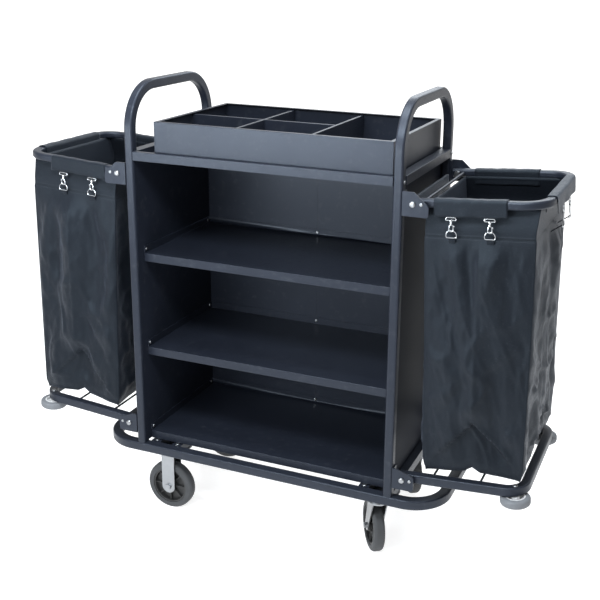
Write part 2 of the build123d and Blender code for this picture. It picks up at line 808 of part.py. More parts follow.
def rigid_fork():
    """Plate and two straight legs, one pressing."""
    inside = leg_inside()
    drop = -(caster_height - wheel_r)
    face = Pos(0, drop / 2) * Rectangle(fork_leg_wide, -drop)
    face += Pos(0, drop) * Circle(fork_leg_wide / 2)
    legs = extrude(Plane.XZ * face, inside + fork_leg, both=True)
    legs -= box(-fork_leg_wide, fork_leg_wide, -inside, inside,
                -plate_thick - fork_leg, drop - fork_leg_wide)
    legs -= rod((0, -50, drop), (0, 50, drop), axle_r + fit_gap)
    return caster_plate() + legs


def axle():
    """Axle bolt, head and nut, on the wheel's axle line."""
    outside = leg_inside() + fork_leg
    bolt = rod((0, -outside, 0), (0, outside + 8.0, 0), axle_r)
    bolt += hex_nut((0, -outside, 0), (0, -outside - 6.0, 0), 9.0)
    nut = hex_nut((0, outside, 0), (0, outside + 6.5, 0), 9.0)
    nut -= rod((0, outside - 1, 0), (0, outside + 9.0, 0), axle_r)
    return [bolt, nut]


def swivel_plate():
    """Top plate with the upper race and the kingpin that the fork turns on."""
    race_low = -plate_thick - race_tall
    crown_low = race_low - seat_gap - 2 * crown_thick
    plate = caster_plate()
    plate += rod((0, 0, -plate_thick), (0, 0, race_low), race_r)
    plate += rod((0, 0, race_low), (0, 0, crown_low - seat_gap), kingpin_r)
    plate += rod((0, 0, crown_low - seat_gap),
                 (0, 0, crown_low - seat_gap - kingpin_head_tall), kingpin_head_r)
    return plate


def swivel_fork():
    """Crown and two raked legs. Its wheel trails along +X before it is turned."""
    inside = leg_inside()
    crown_top = -plate_thick - race_tall - seat_gap
    crown_low = crown_top - 2 * crown_thick
    drop = -(caster_height - wheel_r)
    shoulder = crown_r - 8.0
    crown = rod((0, 0, crown_top), (0, 0, crown_top - crown_thick), race_r)
    crown += rod((0, 0, crown_top - crown_thick), (0, 0, crown_low), crown_r)
    outline = make_hull(
        (Pos(caster_trail, drop) * Circle(trail_end_r)).edges()
        + (Pos(0, crown_low + crown_thick / 2) * Rectangle(2 * shoulder, crown_thick)).edges()
    )
    legs = extrude(Plane.XZ * outline, inside + fork_leg, both=True)
    legs -= box(-200, 200, -inside, inside, crown_low, drop - 2 * trail_end_r)
    fork = crown + legs
    fork -= rod((0, 0, 0), (0, 0, crown_low - 1), kingpin_r + running_gap)
    fork -= rod((caster_trail, -50, drop), (caster_trail, 50, drop), axle_r + fit_gap)
    return fork


def plate_fasteners():
    """Bolts from the top of the base down through each caster's plate."""
    pieces = []
    low = caster_height - plate_thick
    for caster_x, caster_side_y in caster_places():
        for x, y in plate_bolts_at(caster_x, caster_side_y):
            tip = low - plate_nut_tall - 2.0
            bolt = rod((x, y, loop_top), (x, y, tip), plate_bolt_r)
            bolt += dome_head((x, y, loop_top), (0, 0, 1), plate_bolt_head_r,
                              plate_bolt_head_tall)
            nut = hex_nut((x, y, low), (x, y, low - plate_nut_tall), plate_nut_r)
            nut -= rod((x, y, low + 1), (x, y, tip - 1), plate_bolt_r)
            pieces += [bolt, nut]
    return pieces


def at_rigid(shape, y):
    return Pos(rigid_x, y, caster_height) * shape


def at_swivel(shape, y, heading=swivel_heading):
    return Pos(swivel_x, y, caster_height) * Rot(0, 0, heading) * shape


def place_all(pieces, place):
    return [place(piece) for piece in pieces]


# Write every piece -----------------------------------------------------------------------

os.makedirs("parts", exist_ok=True)

save("base_loop", base_loop())
save("base_cross_rails", cross_rails())
save("right_end_frame", end_frame())
save("left_end_frame", left_of(end_frame()))
save("top_deck", top_deck())
for shelf_name, shelf_height in shelf_heights.items():
    save(shelf_name, shelf(shelf_height))
save("right_side_panel", side_panel())
save("left_side_panel", left_of(side_panel()))
save("right_back_panel", back_panel())
save("left_back_panel", left_of(back_panel()))
save("panel_bolts", panel_bolts())
save("hinge_pins", hinge_group())

save("tray_box", tray_box())
save("tray_cross_dividers", cross_dividers())
save("tray_long_divider", long_divider())

upper = [both_ends(piece) for piece in hinge_bracket(frame_bracket, frame_pivot_z,
                                                     frame_tube_tall)]
lower = [both_ends(piece) for piece in hinge_bracket(platform_bracket, platform_pivot_z,
                                                     platform_tall)]
ring = swing_tube(frame_reach, frame_half, frame_tube_tall, frame_tube_edge, frame_corner)
right_pieces = {
    "frame_brackets": solids_of(upper),
    "platform_brackets": solids_of(lower),
    "bag_frame": [tilted(ring, frame_pivot_z)],
    "bag_cross_rod": [tilted(cross_rod(), frame_pivot_z)],
    "bag": [tilted(bag(), frame_pivot_z)],
    "bag_hooks": [tilted(piece, frame_pivot_z) for piece in bag_hooks()],
    "platform_frame": [tilted(platform_frame(), platform_pivot_z)],
    "platform_rods": [tilted(piece, platform_pivot_z) for piece in platform_rods()],
    "bumper_bolts": [tilted(twin, platform_pivot_z)
                     for piece in bumper_bolt() for twin in both_ends(piece)],
    "front_bumper_tyre": [tilted(bumper_tyre(), platform_pivot_z)],
    "front_bumper_hub": [tilted(bumper_hub(), platform_pivot_z)],
    "rear_bumper_tyre": [tilted(back_of(bumper_tyre()), platform_pivot_z)],
    "rear_bumper_hub": [tilted(back_of(bumper_hub()), platform_pivot_z)],
}
for piece_name, pieces in right_pieces.items():
    save("right_" + piece_name, pieces)
    save("left_" + piece_name, [left_of(piece) for piece in pieces])

wheel_drop = Pos(0, 0, wheel_r - caster_height)
trail_drop = Pos(caster_trail, 0, wheel_r - caster_height)
save("rigid_forks", [at_rigid(rigid_fork(), y) for y in (-caster_y, caster_y)])
save("rigid_axles", [at_rigid(wheel_drop * piece, y) for y in (-caster_y, caster_y)
                     for piece in axle()])
save("swivel_plates", [at_swivel(swivel_plate(), y, 0) for y in (-caster_y, caster_y)])
save("caster_bolts", plate_fasteners())
for end_name, end_y in {"front": -caster_y, "rear": caster_y}.items():
    save(f"left_{end_name}_tyre", at_rigid(wheel_drop * wheel_tyre(), end_y))
    save(f"left_{end_name}_wheel", at_rigid(wheel_drop * wheel_hub(), end_y))
    save(f"right_{end_name}_tyre", at_swivel(trail_drop * wheel_tyre(), end_y))
    save(f"right_{end_name}_wheel", at_swivel(trail_drop * wheel_hub(), end_y))
    save(f"right_{end_name}_fork", at_swivel(swivel_fork(), end_y))
    save(f"right_{end_name}_axle",
         [at_swivel(trail_drop * piece, end_y) for piece in axle()])
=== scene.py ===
"""Housekeeping cart: powder-coated steel shelves between two push handles, on casters, with
a cloth linen bag on a fold-up frame at each end. Metres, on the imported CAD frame."""
from math import cos, exp, pi, radians, sin

import bmesh
import bpy
from mathutils import Matrix, Quaternion, Vector, noise


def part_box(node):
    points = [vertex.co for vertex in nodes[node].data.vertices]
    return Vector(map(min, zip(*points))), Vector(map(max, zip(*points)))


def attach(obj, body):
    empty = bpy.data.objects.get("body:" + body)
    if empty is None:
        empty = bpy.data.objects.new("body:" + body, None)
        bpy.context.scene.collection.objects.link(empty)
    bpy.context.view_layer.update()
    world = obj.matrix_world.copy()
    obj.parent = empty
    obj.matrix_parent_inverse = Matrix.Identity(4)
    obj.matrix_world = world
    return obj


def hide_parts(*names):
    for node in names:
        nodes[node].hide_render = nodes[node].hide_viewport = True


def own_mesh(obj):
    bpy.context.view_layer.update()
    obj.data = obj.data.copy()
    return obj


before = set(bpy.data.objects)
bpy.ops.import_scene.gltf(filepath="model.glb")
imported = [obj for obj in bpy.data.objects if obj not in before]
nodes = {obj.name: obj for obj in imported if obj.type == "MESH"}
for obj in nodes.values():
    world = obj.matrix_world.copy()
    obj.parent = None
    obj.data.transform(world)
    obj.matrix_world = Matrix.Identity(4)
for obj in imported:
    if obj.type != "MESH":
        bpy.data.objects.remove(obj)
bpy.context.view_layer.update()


# Camera ----------------------------------------------------------------------------------
# The cart is seen from its open front, a quarter turned, from a little above the handles.
# The lens is a short telephoto, and the picture is taken slightly off the lens's middle.

camera = bpy.data.objects.new("camera", bpy.data.cameras.new("camera"))
bpy.context.scene.collection.objects.link(camera)
camera_place = Vector((1.1223, -2.4913, 1.6080))
camera_aim = Vector((0.0973, 0.0, 0.7832))
camera_turn = (camera_aim - camera_place).to_track_quat("-Z", "Y")
camera_roll = Quaternion((0, 0, 1), radians(0.767))
camera.matrix_world = Matrix.LocRotScale(camera_place, camera_turn @ camera_roll, None)
camera.data.lens = 59.3
camera.data.sensor_width = 36.0
camera.data.shift_x = -0.0378
camera.data.shift_y = -0.0616
bpy.context.scene.camera = camera


# Floor and studio light ------------------------------------------------------------------
# A plain white floor, brightest under and behind the cart. A long soft strip stands close
# in front, level with the tray, so brightness falls off downwards. The rest hangs above.

class Reading:
    """A shader value: adding, multiplying and comparing it adds the Math nodes."""

    def __init__(self, tree, socket):
        self.tree = tree
        self.socket = socket

    def math(self, operation, *values):
        made = add_node(self.tree, "Math", {"operation": operation},
                        dict(enumerate((self,) + values)))
        return Reading(self.tree, made.outputs[0])

    def __add__(self, other):
        return self.math("ADD", other)

    def __mul__(self, other):
        return self.math("MULTIPLY", other)

    def __sub__(self, other):
        return self.math("SUBTRACT", other)

    def __rsub__(self, other):
        return (self * -1.0).math("ADD", other)

    def __gt__(self, other):
        return self.math("GREATER_THAN", other)

    def __lt__(self, other):
        return self.math("LESS_THAN", other)

    __radd__ = __add__
    __rmul__ = __mul__

    def sine(self):
        return self.math("SINE")

    def wrap(self, length):
        return self.math("WRAP", length, 0.0)

    def between(self, low, high):
        """Smooth step from 0 at low to 1 at high."""
        made = add_node(self.tree, "MapRange", {"interpolation_type": "SMOOTHSTEP"},
                        {"Value": self, "From Min": low, "From Max": high})
        return Reading(self.tree, made.outputs["Result"])


def plug(tree, value, socket):
    """Join a reading to a socket, or set the socket to a plain value."""
    if isinstance(value, Reading):
        tree.links.new(value.socket, socket)
    else:
        socket.default_value = value


def add_node(tree, kind, settings=None, inputs=None):
    """Make a node: its settings first, then the values or links of its sockets."""
    made = tree.nodes.new("ShaderNode" + kind)
    for key, value in (settings or {}).items():
        setattr(made, key, value)
    for key, value in (inputs or {}).items():
        plug(tree, value, made.inputs[key])
    return made


class Finish:
    """A material under construction."""

    def __init__(self, name):
        self.material = bpy.data.materials.new(name)
        self.material.use_nodes = True
        self.tree = self.material.node_tree
        self.shader = self.tree.nodes["Principled BSDF"]

    def node(self, kind, settings=None, inputs=None, output=0):
        made = add_node(self.tree, kind, settings, inputs)
        return Reading(self.tree, made.outputs[output])

    def object_space(self):
        return self.node("TexCoord", output="Object")

    def noise(self, scale, detail=2.0, where=None):
        where = where or self.object_space()
        return self.node("TexNoise", inputs={"Vector": where, "Scale": scale,
                                             "Detail": detail}, output="Fac")

    def mix(self, share, first, second):
        """Blend two colours; a colour Mix node has its colours on sockets 6 and 7."""
        return self.node("Mix", {"data_type": "RGBA"}, {0: share, 6: first, 7: second}, 2)

    def split(self, vector):
        made = add_node(self.tree, "SeparateXYZ", inputs={0: vector})
        return [Reading(self.tree, out) for out in made.outputs]

    def bump(self, height, strength, depth):
        return self.node("Bump", inputs={"Height": height, "Strength": strength,
                                         "Distance": depth})

    def surface(self, **values):
        for key, value in values.items():
            plug(self.tree, value, self.shader.inputs[key.replace("_", " ")])
        return self.material


floor_shape = bmesh.new()
bmesh.ops.create_grid(floor_shape, x_segments=1, y_segments=1, size=60.0)
floor_mesh = bpy.data.meshes.new("studio_floor")
floor_shape.to_mesh(floor_mesh)
floor_shape.free()
floor = bpy.data.objects.new("studio_floor", floor_mesh)
bpy.context.scene.collection.objects.link(floor)

floor_paint = Finish("studio_white")
floor_x, floor_y, _ = floor_paint.split(floor_paint.object_space())
beyond_right = (floor_x + floor_y * 0.10).between(0.95, 2.60)
under_glow = floor_y.between(-2.4, -0.7) * (1 - beyond_right) * 0.42
glow = under_glow + floor_y.between(1.2, 4.5) * 0.20 + 0.40
glow_colour = floor_paint.mix(glow, (0, 0, 0, 1), (1, 1, 1, 1))
floor_mesh.materials.append(floor_paint.surface(
    Base_Color=(0.55, 0.55, 0.55, 1), Roughness=0.95, Emission_Color=glow_colour,
    Emission_Strength=1.0))

studio = bpy.data.worlds.new("studio")
studio.use_nodes = True
bpy.context.scene.world = studio
bpy.context.scene.view_settings.view_transform = "Standard"
sky = studio.node_tree
behind_cart = (-0.38, 0.92, 0.0)
direction = Reading(sky, add_node(sky, "TexCoord").outputs["Generated"])
towards = add_node(sky, "VectorMath", {"operation": "DOT_PRODUCT"},
                   {0: direction, 1: behind_cart})
backdrop = Reading(sky, towards.outputs["Value"]).between(0.80, 0.93)
plug(sky, backdrop * 0.45 + 0.60, sky.nodes["Background"].inputs["Strength"])
plug(sky, (1.0, 1.0, 1.0, 1), sky.nodes["Background"].inputs["Color"])


def soft_light(name, place, aim, width, height, power, tint=(0.87, 0.94, 1.0)):
    lamp = bpy.data.lights.new(name, "AREA")
    lamp.shape = "RECTANGLE"
    lamp.size = width
    lamp.size_y = height
    lamp.energy = power
    lamp.color = tint
    holder = bpy.data.objects.new(name, lamp)
    holder.visible_camera = False
    bpy.context.scene.collection.objects.link(holder)
    turn = (Vector(aim) - Vector(place)).to_track_quat("-Z", "Y")
    holder.matrix_world = Matrix.LocRotScale(Vector(place), turn, None)


soft_light("front_panel", (-0.50, -1.50, 1.06), (0.05, 0, 1.12), 1.4, 0.26, 30)
soft_light("key_light", (0.5, -1.9, 3.2), (0, 0, 0.9), 1.4, 1.0, 8)
soft_light("tray_light", (0.2, -1.15, 2.05), (0.15, 0, 1.12), 1.3, 0.35, 34)
soft_light("edge_light", (0.2, 2.6, 2.6), (0, 0, 0.8), 2.6, 1.0, 40)
soft_light("top_light", (0.1, -0.2, 3.3), (0.1, 0, 0.9), 2.0, 1.2, 90)


# Powder-coated steel ---------------------------------------------------------------------
# Sheet, tube and rods, all sprayed in one dark blue-grey powder and baked. The skin is
# satin, with a fine orange-peel grain and faint patches of dust. The side panels are matter.

def grey(value, red=1.0, green=1.0, blue=1.0):
    return (value * red, value * green, value * blue, 1)


def powder_coat(name, gloss, roughness):
    coat = Finish(name)
    patches = coat.noise(9.0, 3.0)
    grain = coat.noise(1500.0, 2.0)
    dust = coat.noise(60.0, 4.0).between(0.55, 0.75)
    base = coat.mix(patches, grey(0.0115, 0.80, 0.96, 1.45), grey(0.0160, 0.80, 0.96, 1.45))
    base = coat.mix(dust * 0.12, base, grey(0.085, 0.95, 1.0, 1.08))
    rough = roughness + patches * 0.08 + dust * 0.08 + grain * 0.04
    skin = coat.bump(grain, 0.35, 0.0004)
    coat.shader.inputs["Specular IOR Level"].default_value = gloss
    coat.shader.inputs["Specular Tint"].default_value = (0.80, 0.88, 1.0, 1)
    return coat.surface(Base_Color=base, Roughness=rough, Normal=skin)


steel_coat = powder_coat("powder_coat", 0.32, 0.32)
panel_coat = powder_coat("powder_coat_on_panels", 0.06, 0.50)


def finish_node(name, material):
    """Give a CAD node its material."""
    mesh = nodes[name].data
    mesh.materials.clear()
    mesh.materials.append(material)


coated = [
    "base_loop", "base_cross_rails", "left_end_frame", "right_end_frame", "left_bag_frame",
    "right_bag_frame", "left_bag_cross_rod", "right_bag_cross_rod", "left_platform_frame",
    "right_platform_frame", "left_platform_rods", "right_platform_rods",
]
for name in coated:
    finish_node(name, steel_coat)


# Folded sheet ----------------------------------------------------------------------------
# Deck, shelves, panels, tray and brackets are cut and folded from sheet, so each fold has a
# small outside radius and each cut edge is eased before it is sprayed.

def new_piece(name, shape, body, replaced=(), material=None, smooth=40.0):
    """Turn a bmesh into a finished piece at the origin that rides on a body."""
    mesh = bpy.data.meshes.new(name)
    shape.to_mesh(mesh)
    shape.free()
    piece = bpy.data.objects.new(name, mesh)
    bpy.context.scene.collection.objects.link(piece)
    if material:
        mesh.materials.append(material)
    if smooth:
        mesh.shade_smooth()
        mesh.set_sharp_from_angle(angle=radians(smooth))
    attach(piece, body)
    if replaced:
        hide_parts(*replaced)
    return piece


def breadth(face):
    """How wide a long flat face is."""
    return 2 * face.calc_area() / face.calc_perimeter()


fold_radius = 0.0011
cut_edge_radius = 0.00035
narrowest_wall = 0.0028     # a face narrower than this is the cut edge of a sheet
sliver = 0.0009


def folded_sheet(node, body, material):
    """The node's shape with its outside folds rounded and its cut edges eased."""
    shape = bmesh.new()
    shape.from_mesh(nodes[node].data)
    bmesh.ops.remove_doubles(shape, verts=shape.verts, dist=5e-6)
    bmesh.ops.dissolve_limit(shape, verts=shape.verts, edges=shape.edges,
                             angle_limit=radians(1.0))
    for radius, steps, on_fold in ((fold_radius, 3, True), (cut_edge_radius, 2, False)):
        chosen = []
        for edge in shape.edges:
            if len(edge.link_faces) != 2 or edge.calc_face_angle(0) < radians(60):
                continue
            if not edge.is_convex or edge.calc_length() < 0.006:
                continue
            widths = [breadth(face) for face in edge.link_faces]
            if (min(widths) > narrowest_wall) == on_fold and min(widths) > sliver:
                chosen.append(edge)
        bmesh.ops.bevel(shape, geom=chosen, offset=radius, segments=steps, profile=0.5,
                        affect="EDGES", material=-1, clamp_overlap=True)
    piece = new_piece(node + "_sheet", shape, body, (node,), material, 50.0)
    even = piece.modifiers.new("flat_faces_stay_flat", "WEIGHTED_NORMAL")
    even.keep_sharp = True
    return piece


for name in ("top_deck", "upper_shelf", "middle_shelf", "bottom_shelf", "left_back_panel",
             "right_back_panel", "left_frame_brackets", "right_frame_brackets",
             "left_platform_brackets", "right_platform_brackets"):
    folded_sheet(name, "cart", steel_coat)
for name in ("left_side_panel", "right_side_panel"):
    folded_sheet(name, "cart", panel_coat)
for name in ("tray_box", "tray_cross_dividers", "tray_long_divider"):
    folded_sheet(name, "tray", steel_coat)


# Zinc-plated fasteners and forks ---------------------------------------------------------
# Bolts, nuts, rivets, axles and caster forks: pressed or turned steel with a bright zinc
# plate, slightly blue, with the faint clouding that the plating bath leaves.

def zinc_plate(name, shade, rough):
    plate = Finish(name)
    clouds = plate.noise(35.0, 4.0)
    grain = plate.noise(900.0, 2.0)
    base = plate.mix(clouds, grey(shade, 0.97, 0.99, 1.02), grey(shade * 0.8, 0.96, 0.99, 1.03))
    skin = plate.bump(grain, 0.2, 0.0002)
    return plate.surface(Base_Color=base, Metallic=1.0,
                         Roughness=rough + clouds * 0.18, Normal=skin)


zinc = zinc_plate("bright_zinc", 0.33, 0.24)
for name in ("panel_bolts", "hinge_pins", "caster_bolts", "rigid_forks", "rigid_axles",
             "swivel_plates", "right_front_fork", "right_front_axle", "right_rear_fork",
             "right_rear_axle", "left_bumper_bolts", "right_bumper_bolts"):
    finish_node(name, zinc)


# Caster wheels ---------------------------------------------------------------------------
# A grey rubber tyre moulded round a black nylon wheel. The wheel has a deep rim, eight
# radial ribs over a thin web, and a raised boss round the axle.

def turned(profile, steps=64):
    """Spin a closed outline of (radius, height) points round the Z axis."""
    shape = bmesh.new()
    points = [shape.verts.new((radius, 0, height)) for radius, height in profile]
    edges = [shape.edges.new((a, b)) for a, b in zip(points, points[1:] + points[:1])]
    bmesh.ops.spin(shape, geom=points + edges, cent=(0, 0, 0), axis=(0, 0, 1),
                   angle=2 * pi, steps=steps, use_merge=True)
    bmesh.ops.remove_doubles(shape, verts=shape.verts, dist=1e-6)
    bmesh.ops.recalc_face_normals(shape, faces=shape.faces)
    return shape


def rounded_ring(inner, outer, width, soft, turns=5):
    """Outline of a ring whose outer edges are rounded to the radius soft."""
    half = width / 2
    outline = [(inner, -half)]
    for step in range(turns + 1):
        angle = -pi / 2 + step * pi / 2 / turns
        outline.append((outer - soft + soft * cos(angle), -half + soft + soft * sin(angle)))
    for step in range(turns + 1):
        angle = step * pi / 2 / turns
        outline.append((outer - soft + soft * cos(angle), half - soft + soft * sin(angle)))
    outline.append((inner, half))
    return outline


def rubber(name, shade):
    tyre = Finish(name)
    scuffs = tyre.noise(45.0, 5.0)
    grain = tyre.noise(700.0, 2.0)
    base = tyre.mix(scuffs, grey(shade, 0.95, 1.0, 1.08), grey(shade * 0.72, 0.95, 1.0, 1.08))
    return tyre.surface(Base_Color=base, Roughness=0.62 + scuffs * 0.15,
                        Normal=tyre.bump(grain, 0.25, 0.0003))


def nylon(name, shade):
    hub = Finish(name)
    grain = hub.noise(600.0, 2.0)
    clouds = hub.noise(30.0, 3.0)
    base = hub.mix(clouds, grey(shade), grey(shade * 1.5))
    return hub.surface(Base_Color=base, Roughness=0.45 + clouds * 0.12,
                       Normal=hub.bump(grain, 0.2, 0.0002))


tyre_rubber = rubber("grey_tyre_rubber", 0.040)
hub_nylon = nylon("black_hub_nylon", 0.012)


def caster_tyre():
    shape = turned(rounded_ring(inner=0.0561, outer=0.0749, width=0.0318, soft=0.0095,
                                turns=6), 96)
    bmesh.ops.rotate(shape, verts=shape.verts, matrix=Matrix.Rotation(pi / 2, 3, "X"))
    return shape


def caster_hub_body():
    half = 0.014
    outline = [(0.0051, -0.0178), (0.0165, -0.0178), (0.0175, -0.0168), (0.0180, -0.0030),
               (0.0500, -0.0022), (0.0512, -half), (0.0552, -half), (0.0559, -half + 0.001),
               (0.0559, half - 0.001), (0.0552, half), (0.0512, half), (0.0500, 0.0022),
               (0.0180, 0.0030), (0.0175, 0.0168), (0.0165, 0.0178), (0.0051, 0.0178)]
    return turned(outline, 64)


def ribbed_hub():
    shape = caster_hub_body()
    ribs = 8
    rib_size = (0.036, 0.0032, 0.0215)
    rib_middle = 0.0338
    for count in range(ribs):
        rib = bmesh.new()
        bmesh.ops.create_cube(rib, size=1.0)
        bmesh.ops.scale(rib, verts=rib.verts, vec=rib_size)
        bmesh.ops.bevel(rib, geom=rib.edges[:], offset=0.0008, segments=2, profile=0.5,
                        affect="EDGES", material=-1)
        bmesh.ops.translate(rib, verts=rib.verts, vec=(rib_middle, 0, 0))
        bmesh.ops.rotate(rib, verts=rib.verts,
                         matrix=Matrix.Rotation(count * 2 * pi / ribs, 3, "Z"))
        add_to(shape, rib)
    bmesh.ops.rotate(shape, verts=shape.verts, matrix=Matrix.Rotation(pi / 2, 3, "X"))
    return shape


def add_to(shape, extra):
    """Join one bmesh to another and free it."""
    mesh = bpy.data.meshes.new("joined")
    extra.to_mesh(mesh)
    extra.free()
    shape.from_mesh(mesh)
    bpy.data.meshes.remove(mesh)


def middle_of(node):
    low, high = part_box(node)
    return (low + high) / 2


swivel_heading = radians(124.0)     # the two casters on the right swivel
for side, end in (("left", "front"), ("left", "rear"), ("right", "front"), ("right", "rear")):
    turn = Matrix.Rotation(swivel_heading if side == "right" else 0.0, 3, "Z")
    place = middle_of(f"{side}_{end}_tyre")
    for part, shape, slot, material in (
            ("tyre", caster_tyre(), "grey_tyre", tyre_rubber),
            ("wheel", ribbed_hub(), "black_hub", hub_nylon)):
        bmesh.ops.rotate(shape, verts=shape.verts, matrix=turn)
        bmesh.ops.translate(shape, verts=shape.verts, vec=place)
        new_piece(f"{side}_{end}_caster_{part}", shape, f"{side}_{end}_caster_wheel",
                  (f"{side}_{end}_{part}",), material)


# Bumper wheels ---------------------------------------------------------------------------
# Small soft wheels that lie flat under the outer corners of the platforms and roll along
# a wall. A blue-grey tyre on a pale dished hub.

# Bag frames and platforms fold on hinge pins, and rise outwards by this tilt when down.
fold_tilt = radians(4.0)
hinge_out = 0.427
frame_hinge_z = 1.039
platform_hinge_z = 0.281


def at_hinge(shape, side, hinge_height):
    """Move a shape, modelled level with its hinge pin at the origin, to its place."""
    level = Matrix.Rotation(-fold_tilt, 4, "Y")
    bmesh.ops.transform(shape, verts=shape.verts,
                        matrix=Matrix.Translation((hinge_out, 0, hinge_height)) @ level)
    if side == "left":
        bmesh.ops.scale(shape, verts=shape.verts, vec=(-1, 1, 1))
        bmesh.ops.reverse_faces(shape, faces=shape.faces)
    return shape


bumper_rubber = rubber("blue_grey_bumper_rubber", 0.16)
bumper_plastic = nylon("pale_bumper_hub", 0.42)
bumper_at = Vector((0.2981, 0.19205, -0.0258))
for side in ("left", "right"):
    for end, sign in (("front", -1), ("rear", 1)):
        tyre_shape = turned(rounded_ring(inner=0.0271, outer=0.0399, width=0.0218,
                                         soft=0.0065), 64)
        hub_shape = turned([(0.0042, -0.0108), (0.0112, -0.0108), (0.0120, -0.0100),
                            (0.0125, -0.0035), (0.0212, -0.0035), (0.0222, -0.0100),
                            (0.0230, -0.0108), (0.0262, -0.0108), (0.0269, -0.0100),
                            (0.0269, 0.0100), (0.0262, 0.0108), (0.0230, 0.0108),
                            (0.0222, 0.0100), (0.0212, 0.0035), (0.0125, 0.0035),
                            (0.0120, 0.0100), (0.0112, 0.0108), (0.0042, 0.0108)], 48)
        where = Vector((bumper_at.x, sign * bumper_at.y, bumper_at.z))
        for part, shape, slot, material in (
                ("tyre", tyre_shape, "grey_tyre", bumper_rubber),
                ("hub", hub_shape, "pale_hub", bumper_plastic)):
            bmesh.ops.translate(shape, verts=shape.verts, vec=where)
            at_hinge(shape, side, platform_hinge_z)
            new_piece(f"{side}_{end}_bumper_wheel_{part}", shape, f"{side}_{end}_bumper",
                      (f"{side}_{end}_bumper_{part}",), material)


# Linen bags ------------------------------------------------------------------------------
# A deep open bag of coated woven cloth, sewn as four walls and a floor. It hangs inside the
# frame, so its top is held square and its walls fall in soft folds to a pinched bottom.

def bag_cloth():
    cloth = Finish("woven_bag_cloth")
    where = cloth.node("UVMap", {"uv_map": "cloth"})
    across, along, _ = cloth.split(where)
    warp = (across * 2200.0).sine()
    weft = (along * 2200.0).sine()
    weave = warp * weft
    slubs = cloth.noise(220.0, 3.0)
    fade = cloth.noise(7.0, 3.0)
    base = cloth.mix(fade, grey(0.0044, 0.78, 0.97, 1.40), grey(0.0078, 0.78, 0.97, 1.40))
    base = cloth.mix(slubs.between(0.55, 0.8) * 0.35, base, grey(0.034, 0.90, 1.0, 1.20))
    # The thin band along the seam of the sewn top band is painted shade: the groove is darkened
    # almost to black, and it is also pressed in through the bump.
    shaded_seam_groove = (along > -0.0842) * (along < -0.0826)
    dashes = across.wrap(0.0050) < 0.0034
    stitches = ((along > -0.0792) * (along < -0.0782) + (along > -0.0892) * (along < -0.0882))
    # painted shade: the seam groove is darkened almost to black
    base = cloth.mix(shaded_seam_groove * 0.85, base, grey(0.0008))
    base = cloth.mix(stitches * dashes * 0.8, base, grey(0.030, 0.90, 1.0, 1.15))
    skin = cloth.bump(weave * 0.5 + slubs - shaded_seam_groove * 2.0, 0.5, 0.0005)
    cloth.shader.inputs["Specular IOR Level"].default_value = 0.17
    cloth.shader.inputs["Specular Tint"].default_value = (0.72, 0.87, 1.0, 1)
    cloth.shader.inputs["Sheen Weight"].default_value = 0.08
    cloth.shader.inputs["Sheen Roughness"].default_value = 0.5
    cloth.shader.inputs["Sheen Tint"].default_value = (0.7, 0.8, 1.0, 1)
    return cloth.surface(Base_Color=base, Roughness=0.38 + slubs * 0.16, Normal=skin)


cloth_material = bag_cloth()


def step_between(value, low, high):
    share = min(max((value - low) / (high - low), 0.0), 1.0)
    return share * share * (3 - 2 * share)


def lay_uv(shape, pattern):
    """Give each face's corners a place on the flat cloth, in metres."""
    layer = shape.loops.layers.uv.new("cloth")
    for face in shape.faces:
        face.normal_update()
        for loop in face.loops:
            loop[layer].uv = pattern(face.normal, loop.vert.co)


def wall_pattern(normal, point):
    if abs(normal.z) > 0.7:
        return (point.x, point.y)
    if abs(normal.x) > abs(normal.y):
        return (point.y, point.z)
    return (point.x, point.z)


bag_top = -0.0075
bag_shoulder = -0.066
bag_bottom = -0.7290
wall_cuts = 77
height_weight = 3.2         # a wall is tall, so a share of its height is a longer way
band_height = 0.895         # the sewn band round the top starts at this share of the height
piping = 0.0022             # the seams at the corners stand out this far


def bag_levels(z):
    """Inner end, outer end and half width of the bag at a height, level with its frame."""
    if z > bag_shoulder:
        share = (z - bag_shoulder) / (bag_top - bag_shoulder)
        return (0.021 + share * 0.0018, 0.300 + share * 0.0080, 0.2045 - share * 0.0165)
    share = (z - bag_bottom) / (bag_shoulder - bag_bottom)
    return (-0.001 + share * 0.022, 0.266 + share * 0.034, 0.2045)


def rounded_to(x, y, half_x, half_y, corner):
    """Pull a point on a rectangle's edge onto the same rectangle with rounded corners."""
    core_x = min(max(x, corner - half_x), half_x - corner)
    core_y = min(max(y, corner - half_y), half_y - corner)
    away = Vector((x - core_x, y - core_y))
    if away.length < 1e-9:
        return x, y, Vector((0, 0))
    away.normalize()
    return core_x + away.x * corner, core_y + away.y * corner, away


def crumple(x, y, z):
    """Sharp-edged creases, from 0 in the flat to 1 on a crease."""
    return 1 - min(abs(noise.noise(Vector((x, y, z)))) * 4.5, 1.0)


def fold_line(across, height, start, end, width, lean=0.0):
    """A soft straight fold between two places, 1 along its ridge; lean eases one flank."""
    run = Vector((end[0] - start[0], (end[1] - start[1]) * height_weight))
    spot = Vector((across - start[0], (height - start[1]) * height_weight))
    share = spot.dot(run) / run.length_squared
    fade = step_between(share, -0.12, 0.15) * (1 - step_between(share, 0.75, 1.15))
    off = (spot.x * run.y - spot.y * run.x) / run.length
    side = width * (1.6 if off * lean > 0 else 0.7) if lean else width
    return fade * exp(-(off / side) ** 2)


